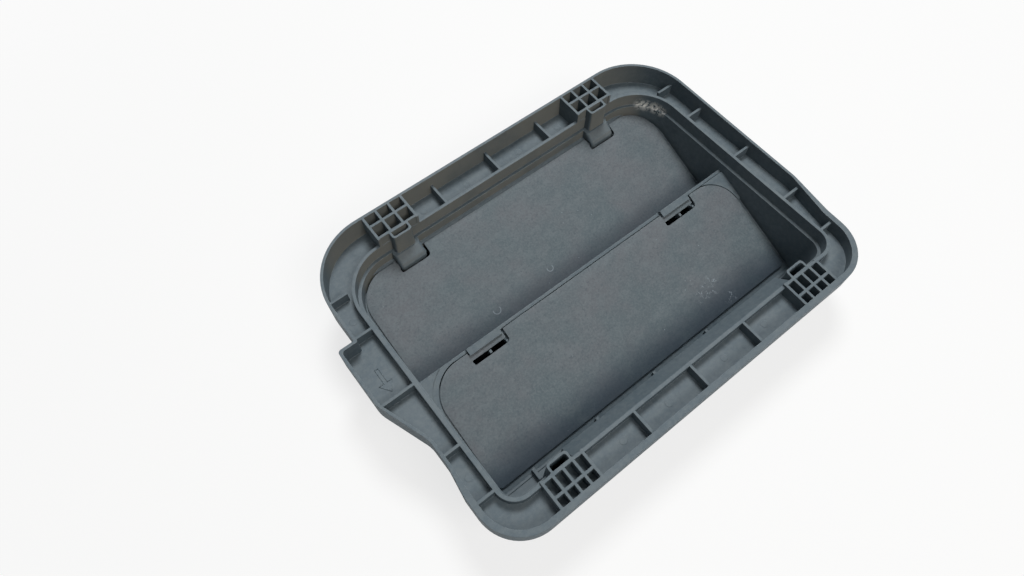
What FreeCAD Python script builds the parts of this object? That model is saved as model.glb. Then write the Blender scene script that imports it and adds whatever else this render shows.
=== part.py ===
import FreeCAD, Part
import math
import os

# Quarter panel pressure vent: a moulded duct with a deep flange, two sloping flap
# valves that lap like shingles, and a foam seal under the flange. Millimetres.
# The origin is the middle of the duct in the plane of the body panel, where the
# foam seal meets it. +Z points outwards, to the side that the flaps open to, and
# +Y points to the side that the flaps hang from.

# Flange outline, seen from outside
half_depth = 77.2
top_reach = 102.8
top_radius = 31.0
low_radius = 20.0
bulge_reach = 104.8
bulge_up = 50.2
waist_reach = 102.3
waist_up = 28.2
left_waist_reach = 101.9
left_waist_up = 41.2
left_foot_reach = 103.8
side_blend = 14.0

# Tab on the left flank
tab_reach = 110.5
tab_top = 28.5
tab_low = 0.0
tab_end_up = 53.2
tab_corner = 1.6

# Flange section
floor_wall = 1.5
seal_depth = 5.0
skirt_depth = 3.3
rim_wall = 1.3
rim_wall_low = 2.6
rim_height_mid = 9.0
rim_slope = 0.0333
rib_wall = 1.2
rib_height = 5.5
flank_rib_y = (51.7, 31.1, -0.3, -31.6, -53.7)
long_rib_x = (-31.3, 0.0, 31.3)

# Duct
flank_width = 9.2
channel_width = 13.5
collar_top_radius = 24.0
collar_low_radius = 9.5
duct_wall = 1.5
step_drop = 1.3
foot_room = 2.6325

# Push pads: lattices of thin walls, and the wells behind the snap arms
top_pad_x = (47.4, 68.8)
top_pad_cells = 3
low_pad_x = (57.6, 78.4)
low_pad_cells = 4
pad_mid_inset = 6.5
well_x_top = 58.0
well_x_low = 67.8
well_width = 10.0
well_wall = 1.0
well_reach = 5.2
well_corner = 1.5
well_spread = 1.4
well_depth = 20.0

# Snap arms
snap_width = 6.4
snap_wall = 1.2
snap_top_drop = 6.0
barb_drop = 7.7
barb_reach = 2.3
barb_flat = 1.2
barb_length = 7.0
slot_gap = 0.8

# Flaps
flap_tilt = 21.5
flap_side_room = 2.1
flap_thick = 1.0
flap_back = 2.5
flap_short = 11.4
flap_top_radius = 16.0
flap_low_radius = 2.5
hinge_set_back = 7.5
lower_hinge_y = -1.2
hinge_drop = 7.1
run_gap = 0.3

# Tongues and the hooks that hold them
tongue_half = 1.5
hook_x = 57.4
hook_length = 17.3
notch_gap = 0.45
cut_width = 1.1
hook_radius = 3.4
roof_wall = 0.9
roof_lead = 0.9
hook_rib_wall = 1.2
block_length = 14.0
block_rise = 5.5
block_set_back = 1.6
block_round = 1.6

# Seats and grid bars
seat_wall = 1.6
seat_overlap = 3.0
hinge_rail = 5.6
cradle_depth = 3.6
window_corner = 3.0
bar_x = (-73.4, -36.7, 0.0, 36.7, 73.4)
bar_wall = 1.6
bar_depth = 7.0
mid_wall = 1.4
rail_reach = 2.2
stop_rib_wall = 1.4
stop_rib_rise = 3.4
stop_rib_x = (-72.0, -36.0, -1.5, 32.0)

# Shelf on the low side
shelf_half_x = 62.0
shelf_reach = 7.3
shelf_drop = 0.9
shelf_wall = 1.3

# Foam seal
seal_gap = 1.0
seal_width = 4.4

# Places that follow the flange
bulge_y = bulge_up - half_depth
waist_y = waist_up - half_depth
left_waist_y = left_waist_up - half_depth
tab_end = tab_end_up - half_depth
collar_half_x = top_reach - flank_width
collar_half_y = half_depth - channel_width
well_front = collar_half_y - well_reach
shelf_front_y = shelf_reach - collar_half_y
upper_hinge_y = collar_half_y - hinge_set_back
flap_half_x = collar_half_x - 2 * duct_wall - flap_side_room
flap_length = collar_half_y - flap_short
flap_drop = (flap_length + seat_overlap) * math.sin(math.radians(flap_tilt))
duct_depth = hinge_drop + flap_drop + foot_room

# Levels above the panel
floor_top = seal_depth + floor_wall
wall_top = floor_top + rib_height
step_level = floor_top - step_drop
base_level = floor_top - duct_depth
hinge_level = floor_top - hinge_drop
seat_level = -flap_thick / 2 - run_gap

duct_half_x = collar_half_x - duct_wall
duct_half_y = collar_half_y - duct_wall
bore_half_x = duct_half_x - duct_wall
bore_half_y = duct_half_y - duct_wall
groove_radius = math.hypot(flap_back, flap_thick / 2) + run_gap
tongue_radius = math.hypot(tongue_half, flap_thick / 2) + run_gap
slot_front = hook_radius + 1.5 * run_gap
web_back = lower_hinge_y + groove_radius + mid_wall
reach = 200.0

V = FreeCAD.Vector


def rounded_face(corners, level=0.0):
    """Face from corner points (x, y, radius), each corner rounded by an arc."""
    count = len(corners)
    starts, arcs = [], []
    for i, (x, y, radius) in enumerate(corners):
        here = V(x, y, level)
        before = V(corners[i - 1][0], corners[i - 1][1], level) - here
        after = V(corners[(i + 1) % count][0], corners[(i + 1) % count][1], level) - here
        before.normalize()
        after.normalize()
        half_turn = before.getAngle(after) / 2
        if radius < 1e-6 or half_turn > math.pi / 2 - 1e-4:
            starts.append((here, here))
            arcs.append(None)
            continue
        run = radius / math.tan(half_turn)
        first, last = here + before * run, here + after * run
        bisector = before + after
        bisector.normalize()
        middle = here + bisector * (radius / math.sin(half_turn) - radius)
        starts.append((first, last))
        arcs.append(Part.Arc(first, middle, last).toShape())
    edges = []
    for i in range(count):
        if arcs[i]:
            edges.append(arcs[i])
        here, there = starts[i][1], starts[(i + 1) % count][0]
        if here.distanceToPoint(there) > 1e-6:
            edges.append(Part.LineSegment(here, there).toShape())
    return Part.Face(Part.Wire(Part.__sortEdges__(edges)))


def prism(face, low, high):
    """Upright solid over a face drawn at level 0."""
    solid = face.extrude(V(0, 0, high - low))
    solid.translate(V(0, 0, low))
    return solid


def block(x0, x1, y0, y1, z0, z1):
    return Part.makeBox(x1 - x0, y1 - y0, z1 - z0, V(x0, y0, z0))


def side_prism(profile, x0, x1):
    """Solid between two X planes over a profile of (y, z) points."""
    points = [V(x0, y, z) for y, z in profile]
    face = Part.Face(Part.makePolygon(points + points[:1]))
    return face.extrude(V(x1 - x0, 0, 0))


def fuse_all(shapes):
    return shapes[0].multiFuse(shapes[1:]) if len(shapes) > 1 else shapes[0]


def settle(shape, hinge_y):
    """Lay a shape made flat, with its hinge on the X axis, on the flap's slope."""
    shape.rotate(V(0, 0, 0), V(1, 0, 0), flap_tilt)
    shape.translate(V(0, hinge_y, hinge_level))
    return shape


def rim_outline(upper, lower):
    """Flange outline moved in by one wall on the high part and another on the low part."""
    corners = [
        (-left_foot_reach + lower, -half_depth + lower, low_radius - lower),
        (waist_reach - lower, -half_depth + lower, low_radius - lower),
        (waist_reach - lower, waist_y, side_blend),
        (bulge_reach - upper, bulge_y, side_blend),
        (top_reach - upper, half_depth - upper, top_radius - upper),
        (-top_reach + upper, half_depth - upper, top_radius - upper),
        (-top_reach + upper, tab_top - upper, tab_corner / 2),
        (-tab_reach + upper, tab_top - upper, tab_corner),
        (-tab_reach + upper, tab_low, side_blend),
        (-left_waist_reach + upper, tab_end, side_blend),
        (-left_waist_reach + upper, left_waist_y, side_blend / 2),
        (-left_foot_reach + lower, waist_y, side_blend / 2),
    ]
    return rounded_face(corners)


def duct_outline(inset):
    """Outline of the duct, moved in from the collar's outer face."""
    x, y = collar_half_x - inset, collar_half_y - inset
    top, low = collar_top_radius - inset, max(collar_low_radius - inset, 2.0)
    return rounded_face([(-x, -y, low), (x, -y, low), (x, y, top), (-x, y, top)])


def rim_wedge():
    """Everything below the plane of the rim, which stands higher on the flap hinge side."""
    low, high = base_level, floor_top + rim_height_mid
    profile = [(-reach, low), (reach, low), (reach, high + rim_slope * reach),
               (-reach, high - rim_slope * reach)]
    return side_prism(profile, -reach, reach)


def pad_walls(x_span, cells, side):
    """Lattice of one push pad on the right half, between the collar and the rim."""
    x0, x1 = x_span
    pitch = (x1 - x0 - rib_wall) / cells
    y0 = collar_half_y - duct_wall
    y1 = half_depth - rim_wall / 2
    middle = collar_half_y + pad_mid_inset - rib_wall / 2
    high = floor_top + 2 * rim_height_mid
    walls = [block(x0 + i * pitch, x0 + i * pitch + rib_wall, y0, y1, floor_top - floor_wall / 2, high)
             for i in range(cells + 1)]
    walls.append(block(x0, x1, middle, middle + rib_wall, floor_top - floor_wall / 2, high))
    walls.append(block(x0, x1, collar_half_y - rib_wall, collar_half_y, floor_top, high))
    lattice = fuse_all(walls)
    return lattice if side > 0 else lattice.mirror(V(0, 0, 0), V(0, 1, 0))


def flange():
    """Channel floor, rim, ribs and push pads."""
    outer = rim_outline(0, 0)
    wall = prism(outer, floor_top - skirt_depth, floor_top + 2 * rim_height_mid)
    wall = wall.cut(prism(rim_outline(rim_wall, rim_wall_low), base_level, floor_top + reach))
    floor = prism(outer, floor_top - floor_wall, floor_top)
    ribs = []
    for y in flank_rib_y:
        for x0, x1 in ((-reach, -collar_half_x + duct_wall / 2), (collar_half_x - duct_wall / 2, reach)):
            ribs.append(block(x0, x1, y - rib_wall / 2, y + rib_wall / 2, floor_top - floor_wall, wall_top))
    for x in long_rib_x:
        for y0, y1 in ((-reach, -collar_half_y + duct_wall / 2), (collar_half_y - duct_wall / 2, reach)):
            ribs.append(block(x - rib_wall / 2, x + rib_wall / 2, y0, y1, floor_top - floor_wall, wall_top))
    ribs = fuse_all(ribs).common(prism(outer, base_level, wall_top))
    pads = []
    for span, cells, side in ((top_pad_x, top_pad_cells, 1), (low_pad_x, low_pad_cells, -1)):
        lattice = pad_walls(span, cells, side)
        pads += [lattice, lattice.mirror(V(0, 0, 0), V(1, 0, 0))]
    high_parts = fuse_all([wall] + pads).common(rim_wedge())
    return fuse_all([high_parts, floor, ribs])


def duct():
    """Collar, step and duct wall, open at both ends."""
    collar = prism(duct_outline(0), step_level - duct_wall, wall_top)
    collar = collar.cut(prism(duct_outline(duct_wall), base_level, wall_top))
    wall = prism(duct_outline(duct_wall), base_level, step_level)
    wall = wall.cut(prism(duct_outline(2 * duct_wall), base_level, step_level))
    return collar.fuse(wall)


def well(x_mid):
    """Well on the +Y wall that leaves room for a snap arm to bend into."""
    back = collar_half_y - duct_wall / 2
    ends = []
    for level, spread in ((floor_top - well_depth, 2 * well_spread), (floor_top + rib_height, 0),
                          (floor_top + 2 * rim_height_mid, 0)):
        half = well_width / 2 + spread / 2
        corners = [(x_mid - half, well_front, well_corner), (x_mid + half, well_front, well_corner),
                   (x_mid + half, back, 0), (x_mid - half, back, 0)]
        ends.append(rounded_face(corners, level).OuterWire)
    body = Part.makeLoft(ends, True, True)
    return body.common(prism(duct_outline(duct_wall / 2), base_level, reach))


def well_space(x_mid):
    """Hollow of a well, with the slots that free the snap arm in the duct wall."""
    half = well_width / 2 - well_wall
    front = well_front + well_wall
    arm_back = duct_half_y - snap_wall
    low = floor_top - well_depth + well_wall
    radius = well_corner - well_wall / 2
    corners = [(x_mid - half, front, radius), (x_mid + half, front, radius),
               (x_mid + half, arm_back, 0), (x_mid - half, arm_back, 0)]
    hollow = prism(rounded_face(corners), low, floor_top + reach)
    mouth = block(x_mid - half, x_mid + half, front + radius, duct_half_y, step_level, floor_top + reach)
    high = step_level - duct_wall - slot_gap
    window = block(x_mid - half, x_mid + half, arm_back - 0.1, duct_half_y + 0.1, low, high)
    return fuse_all([hollow, mouth, window])


def snap_arm(x_mid):
    """Arm that stands up from the foot of its slot, with a barb for the panel's edge."""
    half = snap_width / 2
    back, face = duct_half_y - snap_wall, duct_half_y
    low, high = floor_top - well_depth, floor_top - snap_top_drop
    arm = block(x_mid - half, x_mid + half, back, face, low, high)
    barb_top = floor_top - barb_drop
    profile = [(back, barb_top), (face + barb_reach, barb_top), (face + barb_reach, barb_top - barb_flat),
               (face, barb_top - barb_length), (back, barb_top - barb_length)]
    return arm.fuse(side_prism(profile, x_mid - half, x_mid + half))


def clip_set(make):
    """The four copies of a clip feature: two on the hinge side, two on the low side."""
    copies = []
    for x, side in ((well_x_top, 1), (well_x_low, -1)):
        one = make(x)
        if side < 0:
            one = one.mirror(V(0, 0, 0), V(0, 1, 0))
        copies += [one, one.mirror(V(0, 0, 0), V(1, 0, 0))]
    return fuse_all(copies)


def seat(back, front):
    """Sloping seat of one flap, made flat: window ring, hinge cradle and grid bars."""
    plate = block(-duct_half_x, duct_half_x, -front, back, seat_level - seat_wall, seat_level)
    rail = block(-duct_half_x, duct_half_x, -hinge_rail, back, seat_level - cradle_depth, seat_level)
    x = flap_half_x - seat_overlap
    y0, y1 = -flap_length + seat_overlap, -hinge_rail
    window = rounded_face([(-x, y0, window_corner), (x, y0, window_corner),
                           (x, y1, window_corner), (-x, y1, window_corner)])
    plate = plate.fuse(rail).cut(prism(window, -reach, reach))
    bars = [block(bx - bar_wall / 2, bx + bar_wall / 2, -front, back, seat_level - bar_depth, seat_level)
            for bx in bar_x]
    groove_half = flap_half_x + run_gap * 2
    groove = Part.makeCylinder(groove_radius, 2 * groove_half, V(-groove_half, 0, 0), V(1, 0, 0))
    holes = []
    for mid in (-hook_x, hook_x):
        half = hook_length / 2
        holes.append(block(mid - half, mid + half, -hinge_rail + 1.0, tongue_radius, -reach / 10, reach / 10))
    return fuse_all([plate] + bars).cut(fuse_all([groove] + holes))


def hook_rib(mid):
    """Rib that cradles a tongue from below and rises through the slot in front of it."""
    low = seat_level - cradle_depth
    front = hook_radius
    top = flap_thick / 2
    half = hook_rib_wall / 2
    profile = [(groove_radius + mid_wall / 2, low), (-front, low), (-front, top),
               (-tongue_radius, top), (-tongue_radius, -tongue_radius), (groove_radius + mid_wall / 2, -tongue_radius)]
    return side_prism(profile, mid - half, mid + half)


def lower_hook(mid):
    """Roof over a tongue of the lower flap, carried by the middle wall, with its rib."""
    half = hook_length / 2
    low = flap_thick / 2 + run_gap
    back = groove_radius + mid_wall
    foot = seat_level - cradle_depth
    roof = side_prism([(back, foot), (groove_radius, foot), (groove_radius, low), (roof_lead, low),
                       (roof_lead, low + roof_wall), (back, low + roof_wall)], mid - half, mid + half)
    return roof.fuse(hook_rib(mid))


def upper_hook(mid):
    """Block under a well: a hood over a tongue of the upper flap, with its rib."""
    back = bore_half_y - upper_hinge_y + duct_wall / 2
    profile = [(back, block_rise + roof_wall / 2), (block_set_back, block_rise)]
    for angle in (75, 40, 10, -14):
        turn = math.radians(angle - flap_tilt)
        profile.append((-hook_radius * math.cos(turn), hook_radius * math.sin(turn)))
    profile.append((back, profile[-1][1]))
    hood = side_prism(profile, mid - block_length / 2, mid + block_length / 2)
    ends = [e for e in hood.Edges if abs(e.BoundBox.XMax - e.BoundBox.XMin) < 1e-6
            and e.BoundBox.YMax < back - 1e-3 and e.BoundBox.ZMax > e.BoundBox.ZMin + 1e-3]
    hood = hood.makeFillet(block_round, ends)
    hood.rotate(V(0, 0, 0), V(1, 0, 0), -flap_tilt)
    space = Part.makeCylinder(tongue_radius, block_length + 2, V(mid - block_length / 2 - 1, 0, 0), V(1, 0, 0))
    under = block(mid - block_length / 2 - 1, mid + block_length / 2 + 1,
                  -tongue_radius, tongue_radius, -hook_radius * 2, 0)
    return hood.cut(space.fuse(under)).fuse(hook_rib(mid))


def valve_seats():
    """Both seats with their hooks, the middle wall and the ledge at the low end."""
    slope = math.radians(flap_tilt)
    upper_back = (duct_half_y - upper_hinge_y) / math.cos(slope)
    upper_front = (upper_hinge_y - web_back + mid_wall) / math.cos(slope)
    lower_back = groove_radius + 2 * mid_wall
    lower_front = flap_length + seat_overlap
    upper = fuse_all([seat(upper_back, upper_front)] + [upper_hook(m) for m in (-well_x_top, well_x_top)])
    lower = fuse_all([seat(lower_back, lower_front)] + [lower_hook(m) for m in (-hook_x, hook_x)])
    settle(upper, upper_hinge_y)
    settle(lower, lower_hinge_y)
    upper = upper.common(block(-reach, reach, web_back - mid_wall / 2, reach, base_level, floor_top))
    lower = lower.common(block(-reach, reach, -reach, web_back, base_level, floor_top))
    middle_top = hinge_level + groove_radius * math.sin(slope) + seat_level * math.cos(slope)
    middle = block(-duct_half_x, duct_half_x, web_back - mid_wall, web_back, base_level, middle_top)
    rail_y = lower_hinge_y - flap_length * math.cos(slope) - rail_reach
    rail_level = hinge_level - (flap_length + seat_overlap) * math.sin(slope) + seat_level * math.cos(slope)
    face = block(-duct_half_x, duct_half_x, rail_y - mid_wall, rail_y, base_level, rail_level)
    sump = block(-duct_half_x, duct_half_x, -duct_half_y, rail_y, base_level, base_level + floor_wall)
    stops = [block(x - stop_rib_wall / 2, x + stop_rib_wall / 2, shelf_front_y - shelf_wall / 2,
                   rail_y + rail_reach - 1.6, base_level, rail_level + stop_rib_rise) for x in stop_rib_x]
    inside = prism(duct_outline(1.5 * duct_wall), base_level, floor_top)
    return fuse_all([upper, lower, middle, face, sump] + stops).common(inside)


def shelf():
    """Sloping shelf between the two low wells, with the wall that carries it."""
    top, front = wall_top, floor_top - shelf_drop
    edge = -collar_half_y + duct_wall
    shell = side_prism([(edge, top), (shelf_front_y, front), (shelf_front_y, base_level),
                        (edge + duct_wall, base_level), (edge - duct_wall / 2, step_level),
                        (edge - duct_wall / 2, top)],
                       -shelf_half_x, shelf_half_x)
    hollow = side_prism([(edge + duct_wall, top - 3 * shelf_wall), (shelf_front_y - shelf_wall, front - 2 * shelf_wall),
                         (shelf_front_y - shelf_wall, base_level - 1), (edge + duct_wall, base_level - 1)],
                        -shelf_half_x + shelf_wall, shelf_half_x - shelf_wall)
    return shell.cut(hollow)


def frame():
    """The whole moulding."""
    opening = prism(duct_outline(duct_wall), base_level, floor_top + reach)
    wells = clip_set(well).common(rim_wedge())
    body = fuse_all([flange().cut(opening), duct(), valve_seats(), shelf(), wells])
    body = body.cut(clip_set(well_space)).fuse(clip_set(snap_arm))
    return body.removeSplitter()


def flap(hinge_y, hooks, hook_width):
    """Rubber sheet with two tongues, each cut free at its front and at its right end."""
    x = flap_half_x
    corners = [(-x, -flap_length, flap_low_radius), (x, -flap_length, flap_low_radius),
               (x, flap_back, flap_top_radius), (-x, flap_back, flap_top_radius)]
    sheet = prism(rounded_face(corners), -flap_thick / 2, flap_thick / 2)
    cuts = []
    for mid in (-hooks, hooks):
        left, right = mid - hook_width / 2 - notch_gap, mid + hook_width / 2 + notch_gap
        slot = rounded_face([(left, -slot_front, 1.0), (right + cut_width, -slot_front, 1.8),
                             (right + cut_width, -tongue_half, 0), (left, -tongue_half, 0.4)])
        cuts.append(prism(slot, -flap_thick, flap_thick))
        cuts.append(block(right, right + cut_width, -tongue_half - 0.01, flap_back + 1, -flap_thick, flap_thick))
        cuts.append(block(left, right, tongue_half, flap_back + 1, -flap_thick, flap_thick))
    return settle(sheet.cut(fuse_all(cuts)), hinge_y)


def seal():
    """Foam ring under the flange, around the duct."""
    outer = prism(duct_outline(-seal_gap - seal_width), 0, seal_depth)
    return outer.cut(prism(duct_outline(-seal_gap), -1, seal_depth + 1))


os.makedirs("parts", exist_ok=True)
nodes = {
    "frame": frame(),
    "upper_flap": flap(upper_hinge_y, well_x_top, block_length),
    "lower_flap": flap(lower_hinge_y, hook_x, hook_length),
    "foam_seal": seal(),
}
for name, shape in nodes.items():
    solid = shape.Solids[0] if len(shape.Solids) == 1 else shape
    print(name, "solids", len(shape.Solids), "valid", shape.isValid(), "volume", round(shape.Volume, 1))
    solid.exportStep("parts/" + name + ".step")
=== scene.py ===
import bpy
import bmesh
import math
from mathutils import Matrix, Vector, noise


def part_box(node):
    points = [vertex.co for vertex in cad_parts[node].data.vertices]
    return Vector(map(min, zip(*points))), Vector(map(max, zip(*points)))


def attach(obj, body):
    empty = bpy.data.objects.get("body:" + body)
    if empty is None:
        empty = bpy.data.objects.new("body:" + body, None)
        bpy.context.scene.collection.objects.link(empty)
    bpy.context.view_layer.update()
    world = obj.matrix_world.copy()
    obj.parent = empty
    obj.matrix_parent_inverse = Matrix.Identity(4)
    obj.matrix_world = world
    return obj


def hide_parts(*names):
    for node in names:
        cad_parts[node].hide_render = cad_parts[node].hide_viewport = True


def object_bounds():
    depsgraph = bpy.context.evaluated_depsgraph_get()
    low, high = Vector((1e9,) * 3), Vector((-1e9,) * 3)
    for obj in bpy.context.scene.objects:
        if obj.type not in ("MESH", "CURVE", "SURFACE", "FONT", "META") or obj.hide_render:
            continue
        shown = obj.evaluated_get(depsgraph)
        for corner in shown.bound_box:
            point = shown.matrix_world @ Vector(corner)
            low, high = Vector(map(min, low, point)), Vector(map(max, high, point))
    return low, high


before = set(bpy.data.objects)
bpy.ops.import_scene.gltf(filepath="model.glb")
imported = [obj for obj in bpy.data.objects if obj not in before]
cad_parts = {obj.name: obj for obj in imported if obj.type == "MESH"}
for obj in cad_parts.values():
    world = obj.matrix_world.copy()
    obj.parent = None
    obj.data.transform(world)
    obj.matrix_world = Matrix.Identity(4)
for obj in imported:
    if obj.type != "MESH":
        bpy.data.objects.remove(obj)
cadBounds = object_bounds()
print("stage: frame loaded")

mm = 0.001


# Shader maths: a wire is one socket, and sums on wires add the Math nodes
class Wire:
    def __init__(self, paint, socket):
        self.paint = paint
        self.socket = socket

    def math(self, operation, *others):
        return self.paint.node("ShaderNodeMath", {"operation": operation}, [self, *others])

    def __add__(self, other):
        return self.math("ADD", other)

    __radd__ = __add__

    def __mul__(self, other):
        return self.math("MULTIPLY", other)

    __rmul__ = __mul__

    def __sub__(self, other):
        return self.math("SUBTRACT", other)

    def __rsub__(self, other):
        return self.paint.node("ShaderNodeMath", {"operation": "SUBTRACT"}, [other, self])

    def larger(self, other):
        return self.math("MAXIMUM", other)

    def band(self, low, high):  # 0 below low, 1 above high, smooth between
        sockets = {"Value": self, "From Min": low, "From Max": high}
        return self.paint.node("ShaderNodeMapRange", {"interpolation_type": "SMOOTHSTEP"}, sockets)

    def peak(self, middle, width):  # 1 on one value, falling to 0 a width away
        return 1 - (self - middle).math("ABSOLUTE").band(0.0, width)

    def held(self):  # kept between 0 and 1
        return self.paint.node("ShaderNodeClamp", {}, {"Value": self})


class Paint:  # the nodes of a material or of the world
    def __init__(self, owner):
        self.owner = owner
        owner.use_nodes = True
        self.tree = owner.node_tree
        self.tree.nodes.clear()

    def node(self, kind, settings, sockets, out=0):
        made = self.tree.nodes.new(kind)
        for key, value in settings.items():
            setattr(made, key, value)
        pairs = sockets.items() if isinstance(sockets, dict) else enumerate(sockets)
        for key, value in pairs:
            if isinstance(value, Wire):
                self.tree.links.new(value.socket, made.inputs[key])
            else:
                made.inputs[key].default_value = value
        return Wire(self, made.outputs[out]) if len(made.outputs) else None

    def places(self):  # object coordinates in millimetres
        raw = self.node("ShaderNodeTexCoord", {}, {}, "Object")
        return self.node("ShaderNodeVectorMath", {"operation": "SCALE"}, {0: raw, "Scale": 1 / mm})

    def stretch(self, vector, scale):
        return self.node("ShaderNodeVectorMath", {"operation": "MULTIPLY"}, [vector, scale])

    def distance(self, vector, place):
        return self.node("ShaderNodeVectorMath", {"operation": "DISTANCE"}, [vector, place], "Value")

    def near(self, vector, place, radius, soft):  # 1 inside a ball, 0 outside it
        return 1 - self.distance(vector, place).band(radius - soft, radius + soft)

    def noise(self, vector, size, detail=3.0, rough=0.55):  # size in millimetres
        sockets = {"Vector": vector, "Scale": 1 / size, "Detail": detail, "Roughness": rough}
        return self.node("ShaderNodeTexNoise", {}, sockets)

    def cells(self, vector, size):
        return self.node("ShaderNodeTexVoronoi", {}, {"Vector": vector, "Scale": 1 / size})

    def mix(self, amount, low, high):
        def full(colour):
            return colour if isinstance(colour, Wire) else (*colour, 1)

        sockets = {0: amount, 6: full(low), 7: full(high)}
        return self.node("ShaderNodeMix", {"data_type": "RGBA"}, sockets, 2)

    def cover(self, colour, amount, depth, over):  # lay one colour over another, to a depth
        return self.mix((amount * depth).held(), colour, over)

    def axis(self, vector, letter):
        return self.node("ShaderNodeSeparateXYZ", {}, [vector], letter)

    def facing(self, letter):  # how far the surface faces along an axis
        return self.axis(self.node("ShaderNodeNewGeometry", {}, {}, "Normal"), letter)

    def edges(self, radius):  # 1 along convex and concave edges, and the rounded normal
        flat = self.node("ShaderNodeNewGeometry", {}, {}, "Normal")
        rounded = self.node("ShaderNodeBevel", {"samples": 6}, {"Radius": radius * mm})
        dot = self.node("ShaderNodeVectorMath", {"operation": "DOT_PRODUCT"}, [flat, rounded], "Value")
        return (1 - dot).held(), rounded

    def ray(self, kind):
        return self.node("ShaderNodeLightPath", {}, {}, "Is %s Ray" % kind)

    def shown(self):  # 1 for rays that show the background: seen, mirrored or through glass
        return self.ray("Camera").larger(self.ray("Glossy")).larger(self.ray("Transmission"))

    def bump(self, height, depth, normal=None):  # depth in millimetres
        sockets = {"Height": height, "Distance": depth * mm, "Strength": 1.0}
        if normal:
            sockets["Normal"] = normal
        return self.node("ShaderNodeBump", {}, sockets)

    def surface(self, colour, rough, normal, shine):
        sockets = {"Base Color": colour, "Roughness": rough, "Normal": normal, "Specular IOR Level": shine}
        shader = self.node("ShaderNodeBsdfPrincipled", {}, sockets)
        self.node("ShaderNodeOutputMaterial", {}, [shader])
        return self.owner


def newPaint(name):
    return Paint(bpy.data.materials.new(name))


# In the finishes, sizes are in millimetres and a depth says how strongly a layer covers
framePlastic = {
    "base": (0.086, 0.118, 0.141),
    "cloudy": (0.104, 0.135, 0.158), "cloudSize": 34.0,
    "dust": (0.168, 0.197, 0.212), "smearSize": 7.0, "smearDepth": 0.42,
    "speckSize": 2.6, "speckPatch": 9.0, "speckDepth": 0.5,
    "mottleSize": 2.2, "mottleDepth": 0.34,
    "grime": (0.058, 0.082, 0.102), "grimeSize": 5.5, "grimeDepth": 0.45,
    "wallDustAndBounce": (0.262, 0.260, 0.236), "paleWallY": 52.0, "wallFade": 4.0,
    "wallPatchy": 0.5, "wallEven": 0.45,
    "edge": (0.290, 0.340, 0.370), "edgeRadius": 0.4, "chipSize": 3.0, "wearAndHighlightDepth": 0.72,
    "scuff": (0.80, 0.80, 0.77), "scuffSize": 2.4, "scuffDepth": 0.9, "scuffRadius": 2.6, "scuffSoft": 1.8,
    "scuffPlaces": ((86.8, 53.5, 5.6), (89.3, 48.9, 5.6), (85.6, 56.0, 5.6), (89.4, 45.5, 5.6)),
    "grainSize": 0.42, "grainHeight": 0.035, "flowSize": 16.0, "flowHeight": 0.12,
    "rough": 0.50, "smearRough": 0.16, "chipSmooth": 0.12, "shine": 0.42,
}


def makeFramePlastic(look):
    paint = newPaint("frame_plastic_moulded")
    place = paint.places()
    clouds = paint.noise(place, look["cloudSize"], 4.0)
    smears = paint.noise(paint.stretch(place, (0.35, 1.0, 1.0)), look["smearSize"], 5.0, 0.65)
    specks = 1 - paint.cells(place, look["speckSize"]).band(0.05, 0.16)
    rare = paint.noise(place, look["speckPatch"], 2.0).band(0.60, 0.66)
    edge, softNormal = paint.edges(look["edgeRadius"])
    upward = paint.facing("Z").band(0.55, 1.0)
    colour = paint.mix(clouds.band(0.35, 0.65), look["base"], look["cloudy"])
    smeared = upward * smears.band(0.42, 0.72) * look["smearDepth"]
    dusty = smeared + specks * rare * upward * look["speckDepth"]
    colour = paint.mix(dusty.held(), colour, look["dust"])
    mottle = paint.noise(place, look["mottleSize"], 4.0, 0.65).band(0.38, 0.66)
    colour = paint.cover(colour, mottle, look["mottleDepth"], look["dust"])
    grime = paint.noise(place, look["grimeSize"], 5.0, 0.7).band(0.50, 0.72)
    colour = paint.cover(colour, grime, look["grimeDepth"], look["grime"])

    # warm pale colour on the walls at the hinge side that face the flaps: partly dust, partly painted bounce
    # light
    high = paint.axis(place, "Y").band(look["paleWallY"], look["paleWallY"] + look["wallFade"])
    patchy = clouds.band(0.25, 0.6) * look["wallPatchy"] + look["wallEven"]
    dustAndBounce = high * (0 - paint.facing("Y")).band(0.5, 0.95) * patchy
    colour = paint.mix(dustAndBounce.held(), colour, look["wallDustAndBounce"])

    # paler along edges, broken up by chips: partly worn edges, partly painted highlight
    chips = paint.noise(place, look["chipSize"], 3.0).band(0.30, 0.58)
    wearAndHighlight = (edge.band(0.02, 0.30) * chips * look["wearAndHighlightDepth"]).held()
    colour = paint.mix(wearAndHighlight, colour, look["edge"])
    scuffs = paint.noise(paint.stretch(place, (0.5, 1.6, 1.0)), look["scuffSize"], 4.0, 0.7).band(0.42, 0.52)
    worn = None
    for spot in look["scuffPlaces"]:
        one = paint.near(place, spot, look["scuffRadius"], look["scuffSoft"])
        worn = one if worn is None else worn.larger(one)
    colour = paint.cover(colour, worn * scuffs, look["scuffDepth"], look["scuff"])

    grain = paint.noise(place, look["grainSize"], 2.0, 0.5)
    flow = paint.noise(paint.stretch(place, (0.3, 1.0, 1.0)), look["flowSize"], 2.0)
    rough = look["rough"] + smears * look["smearRough"] - wearAndHighlight * look["chipSmooth"]
    normal = paint.bump(grain, look["grainHeight"], softNormal)
    normal = paint.bump(flow, look["flowHeight"], normal)
    return paint.surface(colour, rough, normal, look["shine"])


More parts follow.
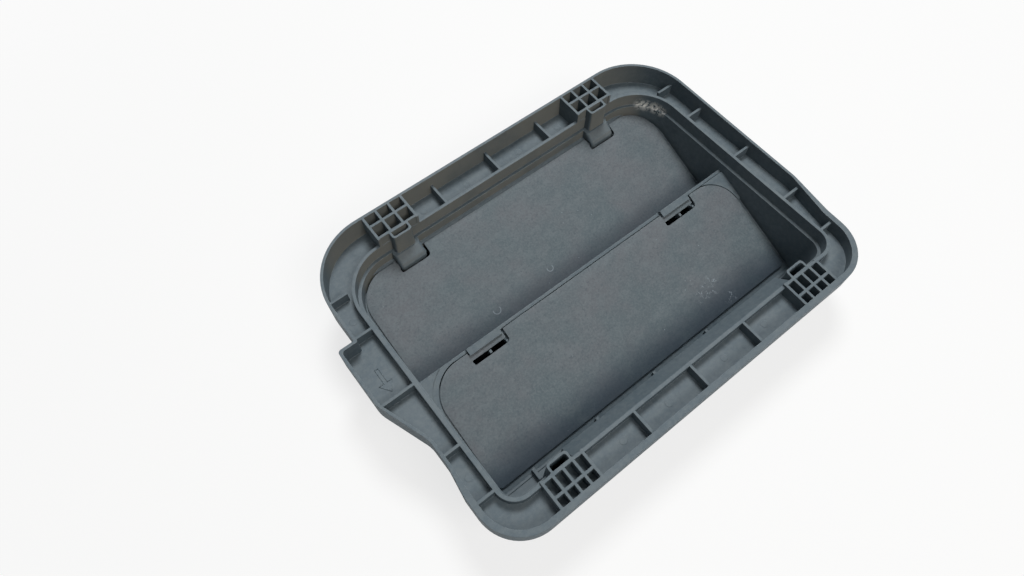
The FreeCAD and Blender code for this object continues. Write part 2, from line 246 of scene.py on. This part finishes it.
flapRubber = {
    "base": (0.091, 0.121, 0.137),
    "warm": (0.122, 0.134, 0.150), "cloudSize": 26.0,
    "dust": (0.176, 0.206, 0.224), "filmSize": 5.0, "filmDepth": 0.42, "fineSize": 0.9, "fineDepth": 0.34,
    "dark": (0.062, 0.080, 0.096), "pitSize": 1.3, "pitDepth": 0.52,
    "lowShade": (0.036, 0.058, 0.086), "lowShadeReach": 18.0,
    "upper": {"lowEdge": 7.4, "lowShadeDepth": 0.34},
    "lower": {"lowEdge": -50.0, "lowShadeDepth": 0.64},
    "paleMarkAndHighlight": (0.40, 0.46, 0.52), "speckSize": 3.4, "speckPatch": 12.0, "speckDepth": 0.5,
    "webSize": 4.5, "webBreak": 1.7, "webSoft": 2.0, "webDepth": 0.7,
    "scratchSpots": ((42.0, -38.5, -14.8, 3.6), (48.5, -37.5, -14.4, 4.0), (54.0, -46.0, -17.8, 3.2)),
    "ringMarks": ((-39.1, 16.1, -15.8, 1.9), (-5.2, 17.9, -15.2, 1.6)), "ringWidth": 0.38, "ringDepth": 0.5,
    "edgeRadius": 0.3, "freeReach": 3.0, "freeHighlightDepth": 0.5, "edgeHighlightDepth": 0.35,
    "grainSize": 0.36, "grainHeight": 0.03, "waveSize": 22.0, "waveHeight": 0.35,
    "rough": 0.56, "filmRough": 0.18, "shine": 0.40,
}


def makeFlapRubber(look, flap):
    lowEdge, lowShadeDepth = look[flap]["lowEdge"], look[flap]["lowShadeDepth"]
    paint = newPaint(flap + "_flap_rubber")
    place = paint.places()
    clouds = paint.noise(place, look["cloudSize"], 5.0, 0.6)
    film = paint.noise(paint.stretch(place, (0.6, 1.0, 1.0)), look["filmSize"], 5.0, 0.7)
    colour = paint.mix(clouds.band(0.32, 0.68), look["base"], look["warm"])
    colour = paint.cover(colour, film.band(0.42, 0.72), look["filmDepth"], look["dust"])
    fine = paint.noise(place, look["fineSize"], 2.0, 0.6).band(0.40, 0.66)
    colour = paint.cover(colour, fine, look["fineDepth"], look["dust"])
    pits = paint.noise(place, look["pitSize"], 3.0, 0.7).band(0.52, 0.70)
    colour = paint.cover(colour, pits, look["pitDepth"], look["dark"])
    # painted bluish shade, darker towards each flap's low free edge
    down = 1 - paint.axis(place, "Y").band(lowEdge, lowEdge + look["lowShadeReach"])
    colour = paint.mix((down * lowShadeDepth * clouds.band(0.1, 0.5)).held(), colour, look["lowShade"])

    # pale marks: specks, fine scratches in a few spots, and two open rings
    specks = 1 - paint.cells(place, look["speckSize"]).band(0.035, 0.10)
    rare = paint.noise(place, look["speckPatch"], 2.0).band(0.58, 0.62)
    marks = specks * rare * look["speckDepth"]
    web = paint.noise(paint.stretch(place, (1.0, 1.4, 1.0)), look["webSize"], 2.0, 0.5)
    web = web.peak(0.5, 0.020).larger(web.peak(0.42, 0.014))
    broken = paint.noise(place, look["webBreak"], 2.0, 0.6).band(0.44, 0.56)
    for x, y, z, radius in look["scratchSpots"]:
        area = paint.near(place, (x, y, z), radius, look["webSoft"])
        marks = marks + area * web * broken * look["webDepth"]
    for x, y, z, radius in look["ringMarks"]:
        ring = paint.distance(place, (x, y, z)).peak(radius, look["ringWidth"])
        lowHalf = 1 - paint.axis(place, "Y").band(y + 0.2, y + 0.9)
        marks = marks + ring * lowHalf * look["ringDepth"]
    colour = paint.mix(marks.held(), colour, look["paleMarkAndHighlight"])

    edge, softNormal = paint.edges(look["edgeRadius"])
    # painted highlight along the flap's edges, stronger near the low free edge, in the colour of the pale
    # marks
    free = 1 - paint.axis(place, "Y").band(lowEdge, lowEdge + look["freeReach"])
    edgeHighlight = edge.band(0.02, 0.25) * (free * look["freeHighlightDepth"] + look["edgeHighlightDepth"])
    colour = paint.mix(edgeHighlight.held(), colour, look["paleMarkAndHighlight"])
    grain = paint.noise(place, look["grainSize"], 2.0, 0.5)
    wave = paint.noise(place, look["waveSize"], 2.0)
    normal = paint.bump(grain, look["grainHeight"], softNormal)
    normal = paint.bump(wave, look["waveHeight"], normal)
    return paint.surface(colour, look["rough"] + film * look["filmRough"], normal, look["shine"])


sealFoam = {
    "base": (0.022, 0.023, 0.025), "pale": (0.060, 0.062, 0.064), "cloudSize": 12.0,
    "poreShade": (0.010, 0.010, 0.011), "poreSize": 0.55, "poreHeight": 0.16,
    "rough": 0.86, "cloudRough": 0.1, "shine": 0.25,
}


def makeSealFoam(look):
    paint = newPaint("seal_foam_open")
    place = paint.places()
    pores = paint.cells(place, look["poreSize"])
    clouds = paint.noise(place, look["cloudSize"], 3.0)
    colour = paint.mix(clouds.band(0.3, 0.7), look["base"], look["pale"])
    # painted shade: the open pores are darker than the foam around them
    colour = paint.mix(pores.band(0.1, 0.5), look["poreShade"], colour)
    rough = look["rough"] + clouds * look["cloudRough"]
    return paint.surface(colour, rough, paint.bump(pores, look["poreHeight"]), look["shine"])


floorLook = {"colour": (0.97, 0.97, 0.97), "lift": 0.76, "fadeFrom": 200.0, "fadeTo": 700.0}


def makeFloorPaint(look):
    paint = newPaint("pale_floor")
    diffuse = paint.node("ShaderNodeBsdfDiffuse", {}, {"Color": (*look["colour"], 1)})
    glow = paint.node("ShaderNodeEmission", {}, {"Color": (1, 1, 1, 1), "Strength": 1.0})
    away = paint.node("ShaderNodeVectorMath", {"operation": "LENGTH"}, [paint.places()], "Value")
    far = away.band(look["fadeFrom"], look["fadeTo"])  # near the part the floor keeps its shadow
    lift = paint.ray("Camera") * look["lift"] * (1 - far) + paint.shown() * far
    both = paint.node("ShaderNodeMixShader", {}, [lift, diffuse, glow])
    paint.node("ShaderNodeOutputMaterial", {}, [both])
    return paint.owner


plasticPaint = makeFramePlastic(framePlastic)
upperPaint = makeFlapRubber(flapRubber, "upper")
lowerPaint = makeFlapRubber(flapRubber, "lower")
foamPaint = makeSealFoam(sealFoam)
print("stage: materials made")

meshWork = {"mergeGap": 0.002, "bevelSegments": 2, "bevelAngle": 50.0}


def nodeCopy(node):  # a merged copy of a CAD node's mesh, for a piece that stands for it
    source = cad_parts[node]
    form = bmesh.new()
    form.from_mesh(source.data)
    form.transform(source.matrix_world)
    bmesh.ops.remove_doubles(form, verts=form.verts, dist=meshWork["mergeGap"] * mm)
    return form


def meshObject(name, form, paint):
    mesh = bpy.data.meshes.new(name)
    form.to_mesh(mesh)
    form.free()
    piece = bpy.data.objects.new(name, mesh)
    bpy.context.collection.objects.link(piece)
    mesh.materials.append(paint)
    return piece


def settleModifiers(piece):  # turn a piece with live modifiers into a plain mesh
    graph = bpy.context.evaluated_depsgraph_get()
    graph.update()
    mesh = bpy.data.meshes.new_from_object(piece.evaluated_get(graph))
    piece.modifiers.clear()
    piece.data = mesh
    return piece


def softenEdges(piece, width):
    bevel = piece.modifiers.new("soft edges", "BEVEL")
    bevel.width = width * mm
    bevel.segments = meshWork["bevelSegments"]
    bevel.limit_method = "ANGLE"
    bevel.angle_limit = math.radians(meshWork["bevelAngle"])
    settleModifiers(piece)


def smoothFaces(piece):
    for face in piece.data.polygons:
        face.use_smooth = True


def dress(piece, body, paint):
    piece.data.materials.clear()
    piece.data.materials.append(paint)
    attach(piece, body)


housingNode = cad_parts["frame"]
housingNode.data.materials.clear()
housingNode.data.materials.append(plasticPaint)

flapForm = {
    "cut": 5.0, "flatAngle": 0.01, "edgeRound": 0.22, "sharpAngle": 35.0,
    "wave": 0.14, "waveSize": 42.0, "seedStep": 0.1, "seeds": {"upper_flap": 3, "lower_flap": 8},
    "creases": {"upper_flap": (), "lower_flap": ((-38.0, 0.6, 7.0, 0.5), (-30.0, 0.2, 5.0, 0.35))},
    "creaseStretch": 2.5,
}


def makeFlap(node, body, paint, form):
    low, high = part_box(node)
    sheet = nodeCopy(node)
    bmesh.ops.dissolve_limit(sheet, angle_limit=form["flatAngle"], verts=sheet.verts, edges=sheet.edges)
    for axis, facing in ((0, Vector((1, 0, 0))), (1, Vector((0, 1, 0)))):
        start, end = low[axis], high[axis]
        count = int((end - start) / (form["cut"] * mm))
        for number in range(1, count):
            place = Vector((0, 0, 0))
            place[axis] = start + (end - start) * number / count
            everything = sheet.verts[:] + sheet.edges[:] + sheet.faces[:]
            bmesh.ops.bisect_plane(sheet, geom=everything, plane_co=place, plane_no=facing)
    bmesh.ops.triangulate(sheet, faces=[f for f in sheet.faces if len(f.verts) > 4])
    layer = form["seeds"][node] * form["seedStep"]
    for vert in sheet.verts:  # a thin sheet never lies quite flat: less so towards its free edge
        free = (high[1] - vert.co.y) / (high[1] - low[1])
        swell = noise.noise(Vector((vert.co.x, vert.co.y, layer)) / (form["waveSize"] * mm))
        vert.co.z += swell * form["wave"] * mm * free
        for x, y, radius, rise in form["creases"][node]:
            far = math.hypot(vert.co.x / mm - x, form["creaseStretch"] * (vert.co.y / mm - y))
            vert.co.z += rise * mm * max(0.0, 1 - far / radius) ** 2
    piece = meshObject(node + "_sheet", sheet, paint)
    softenEdges(piece, form["edgeRound"])
    smoothFaces(piece)
    piece.data.set_sharp_from_angle(angle=math.radians(form["sharpAngle"]))
    dress(piece, body, paint)
    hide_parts(node)


makeFlap("upper_flap", "upper_valve", upperPaint, flapForm)
makeFlap("lower_flap", "lower_valve", lowerPaint, flapForm)
print("stage: flaps made")

# Raised corners beside the lower flap's round corners, drawn flat and laid on its slope.
# A step is its gap to the flap's edge, then its low and top face. The flap needs 0.45 to swing.
cornerPads = {
    "hinge": (0.0, -1.2, -0.6), "tilt": 21.5, "middle": (72.5, -13.5), "radius": 16.0,
    "left": {"outer": (90.7, 4.2), "steps": ((0.45, -0.9, 0.5), (3.05, 0.4, 1.2))},
    "right": {"outer": (90.7, 2.6), "steps": ((0.45, -0.9, 0.4),)},
    "turns": 16, "edgeRound": 0.14,
}


def padOutline(look, radius, outer):
    midX, midY = look["middle"]
    outX, outY = outer
    first = math.acos(min(1.0, (outY - midY) / radius))
    last = math.asin(min(1.0, (outX - midX) / radius))
    angles = [first + (last - first) * number / look["turns"] for number in range(look["turns"] + 1)]
    outline = [(midX + radius * math.sin(a), midY + radius * math.cos(a)) for a in angles]
    if midX + radius < outX:
        outline.append((outX, midY))
    outline.append((outX, outY))
    if midY + radius < outY:
        outline.append((midX, outY))
    return outline


def makeCornerPads(look):
    form = bmesh.new()
    for side, pad in ((-1, look["left"]), (1, look["right"])):
        for gap, low, top in pad["steps"]:
            outline = padOutline(look, look["radius"] + gap, pad["outer"])
            under, over = [[form.verts.new((side * x, y, z)) for x, y in outline] for z in (low, top)]
            form.faces.new(under)
            form.faces.new(over)
            for number in range(len(outline)):
                before = number - 1
                form.faces.new([under[before], under[number], over[number], over[before]])
    bmesh.ops.recalc_face_normals(form, faces=form.faces)
    form.transform(Matrix.Translation(look["hinge"]) @ Matrix.Rotation(math.radians(look["tilt"]), 4, "X"))
    form.transform(Matrix.Scale(mm, 4))
    piece = meshObject("corner_pads", form, plasticPaint)
    softenEdges(piece, look["edgeRound"])
    dress(piece, "housing", plasticPaint)


makeCornerPads(cornerPads)
print("stage: corner pads made")

sealForm = {
    "voxel": 1.0, "rounds": 4, "softness": 0.5, "uneven": 0.16, "patch": 9.0,
    "shifts": ((0.0, 0.0, 0.0), (31.4, 0.0, 0.0), (0.0, 47.2, 0.0)),
}


def makeSeal(form):
    piece = meshObject("foam_seal_ring", nodeCopy("foam_seal"), foamPaint)
    remesh = piece.modifiers.new("cells", "REMESH")
    remesh.mode = "VOXEL"
    remesh.voxel_size = form["voxel"] * mm
    smooth = piece.modifiers.new("soft", "SMOOTH")
    smooth.iterations = form["rounds"]
    smooth.factor = form["softness"]
    settleModifiers(piece)
    for vert in piece.data.vertices:  # plain noise, shifted for each axis, is the same in every run
        place = vert.co / (form["patch"] * mm)
        push = Vector([noise.noise(place + Vector(shift)) for shift in form["shifts"]])
        vert.co += push * form["uneven"] * mm
    smoothFaces(piece)
    dress(piece, "housing", foamPaint)
    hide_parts("foam_seal")


makeSeal(sealForm)
print("stage: seal made")


# Geometry Nodes: each tree takes named sizes and ends in Realize Instances and Set Material
def newTree(name, sizes):
    tree = bpy.data.node_groups.new(name, "GeometryNodeTree")
    tree.interface.new_socket("Geometry", in_out="INPUT", socket_type="NodeSocketGeometry")
    for label, value in sizes.items():
        socket = tree.interface.new_socket(label, in_out="INPUT", socket_type="NodeSocketFloat")
        socket.default_value = value
    tree.interface.new_socket("Geometry", in_out="OUTPUT", socket_type="NodeSocketGeometry")
    return tree, tree.nodes.new("NodeGroupInput"), tree.nodes.new("NodeGroupOutput")


def closeTree(tree, last, out, paint):
    realize = tree.nodes.new("GeometryNodeRealizeInstances")
    material = tree.nodes.new("GeometryNodeSetMaterial")
    material.inputs["Material"].default_value = paint
    tree.links.new(last, realize.inputs[0])
    tree.links.new(realize.outputs[0], material.inputs["Geometry"])
    tree.links.new(material.outputs[0], out.inputs[0])


def markTree(paint, sizes, sides):  # a round raised mark on every point
    tree, given, out = newTree("round marks", sizes)
    disc = tree.nodes.new("GeometryNodeMeshCylinder")
    disc.inputs["Vertices"].default_value = sides
    copies = tree.nodes.new("GeometryNodeInstanceOnPoints")
    tree.links.new(given.outputs["Mark radius"], disc.inputs["Radius"])
    tree.links.new(given.outputs["Mark height"], disc.inputs["Depth"])
    tree.links.new(given.outputs["Geometry"], copies.inputs["Points"])
    tree.links.new(disc.outputs["Mesh"], copies.inputs["Instance"])
    closeTree(tree, copies.outputs[0], out, paint)
    return tree


def ridgeTree(paint, sizes):  # a raised ridge that follows a line
    tree, given, out = newTree("moulded ridge", sizes)
    line = tree.nodes.new("GeometryNodeMeshToCurve")
    section = tree.nodes.new("GeometryNodeCurvePrimitiveQuadrilateral")
    sweep = tree.nodes.new("GeometryNodeCurveToMesh")
    sweep.inputs["Fill Caps"].default_value = True
    tree.links.new(given.outputs["Ridge width"], section.inputs["Width"])
    tree.links.new(given.outputs["Ridge height"], section.inputs["Height"])
    tree.links.new(given.outputs["Geometry"], line.inputs["Mesh"])
    tree.links.new(line.outputs[0], sweep.inputs["Curve"])
    tree.links.new(section.outputs[0], sweep.inputs["Profile Curve"])
    closeTree(tree, sweep.outputs[0], out, paint)
    return tree


def grow(name, points, edges, tree, sizes):  # run a tree on points given in millimetres
    mesh = bpy.data.meshes.new(name)
    mesh.from_pydata([Vector(p) * mm for p in points], edges, [])
    piece = bpy.data.objects.new(name, mesh)
    bpy.context.collection.objects.link(piece)
    modifier = piece.modifiers.new("grow", "NODES")
    modifier.node_group = tree
    for item in tree.interface.items_tree:
        if item.in_out == "INPUT" and item.name in sizes:
            modifier[item.identifier] = sizes[item.name]
    return settleModifiers(piece)


arrowSign = {
    "centre": (-101.6, 10.5), "length": 11.8, "head": 4.6, "shaft": 1.6, "headWidth": 6.4,
    "floor": 6.5, "sizes": {"Ridge width": 0.36 * mm, "Ridge height": 0.6 * mm},
}


def makeArrow(look):
    x, y = look["centre"]
    tip, back = y - look["length"] / 2, y + look["length"] / 2
    neck = tip + look["head"]
    half, wing = look["shaft"] / 2, look["headWidth"] / 2
    outline = [(x - half, back), (x + half, back), (x + half, neck), (x + wing, neck), (x, tip),
               (x - wing, neck), (x - half, neck)]
    points = [(px, py, look["floor"]) for px, py in outline]
    edges = [(i, (i + 1) % len(points)) for i in range(len(points))]
    tree = ridgeTree(plasticPaint, look["sizes"])
    arrow = grow("tab_arrow", points, edges, tree, look["sizes"])
    dress(arrow, "housing", plasticPaint)


makeArrow(arrowSign)

pinMarks = {
    "floor": 6.5, "longX": (-41.0, -16.0, 16.0, 41.0), "topY": 69.6, "lowY": -69.2,
    "flankX": 97.6, "leftY": (41.0, -43.0), "rightY": (41.0, 15.0, -16.0, -43.0),
    "sides": 28, "sizes": {"Mark radius": 1.7 * mm, "Mark height": 0.16 * mm},
}


def makePinMarks(look):
    points = [(x, y, look["floor"]) for y in (look["topY"], look["lowY"]) for x in look["longX"]]
    points += [(-look["flankX"], y, look["floor"]) for y in look["leftY"]]
    points += [(look["flankX"], y, look["floor"]) for y in look["rightY"]]
    tree = markTree(plasticPaint, look["sizes"], look["sides"])
    marks = grow("ejector_marks", points, [], tree, look["sizes"])
    dress(marks, "housing", plasticPaint)


makePinMarks(pinMarks)
print("stage: moulded marks made")

floorForm = {"half": 30.0, "level": cadBounds[0][2]}  # in metres


def makeFloor(form):
    plane = bmesh.new()
    bmesh.ops.create_grid(plane, x_segments=1, y_segments=1, size=form["half"])
    bmesh.ops.translate(plane, verts=plane.verts, vec=(0, 0, form["level"]))
    floor = meshObject("pale_floor", plane, makeFloorPaint(floorLook))


makeFloor(floorForm)

lightPlan = {
    "key": {"place": (0.27, 0.36, 1.04), "size": 0.36, "watts": 8.2, "colour": (0.98, 1.0, 1.0)},
    "fill": {"place": (0.05, -0.72, 0.88), "size": 0.5, "watts": 4.5, "colour": (1.0, 0.97, 0.92)},
    "sky": 0.07,
}


def makeLights(plan):
    middle = (Vector(cadBounds[0]) + Vector(cadBounds[1])) / 2
    for name in ("key", "fill"):
        light = bpy.data.lights.new(name, "AREA")
        light.shape = "DISK"
        light.size = plan[name]["size"]
        light.energy = plan[name]["watts"]
        light.color = plan[name]["colour"]
        lamp = bpy.data.objects.new(name, light)
        bpy.context.collection.objects.link(lamp)
        lamp.location = plan[name]["place"]
        lamp.rotation_euler = (Vector(plan[name]["place"]) - middle).to_track_quat("Z", "Y").to_euler()
    world = bpy.data.worlds.new("studio")
    bpy.context.scene.world = world
    paint = Paint(world)
    level = paint.shown() * (1 - plan["sky"]) + plan["sky"]
    back = paint.node("ShaderNodeBackground", {}, {"Color": (1, 1, 1, 1), "Strength": level})
    paint.node("ShaderNodeOutputWorld", {}, [back])


makeLights(lightPlan)

# The place and turns of the camera, solved from the right angles of the part
cameraPlan = {
    "place": (-118.37, -97.81, 270.99), "turns": (0.39257, -0.28833, -0.60868),
    "focalPixels": 674.67, "pictureWidth": 1024, "sensor": 36.0, "nearest": 0.01,
}


def makeCamera(plan):
    lens = bpy.data.cameras.new("camera")
    lens.sensor_width = plan["sensor"]
    lens.lens = plan["focalPixels"] / plan["pictureWidth"] * plan["sensor"]
    lens.clip_start = plan["nearest"]
    camera = bpy.data.objects.new("camera", lens)
    bpy.context.collection.objects.link(camera)
    turn = Matrix.Identity(3)
    for angle, letter in zip(plan["turns"], "XYZ"):
        turn = turn @ Matrix.Rotation(angle, 3, letter)
    camera.matrix_world = Matrix.Translation(Vector(plan["place"]) * mm) @ turn.to_4x4()
    bpy.context.scene.camera = camera


makeCamera(cameraPlan)
bpy.context.scene.view_settings.view_transform = "Standard"
print("stage: camera and lights made")
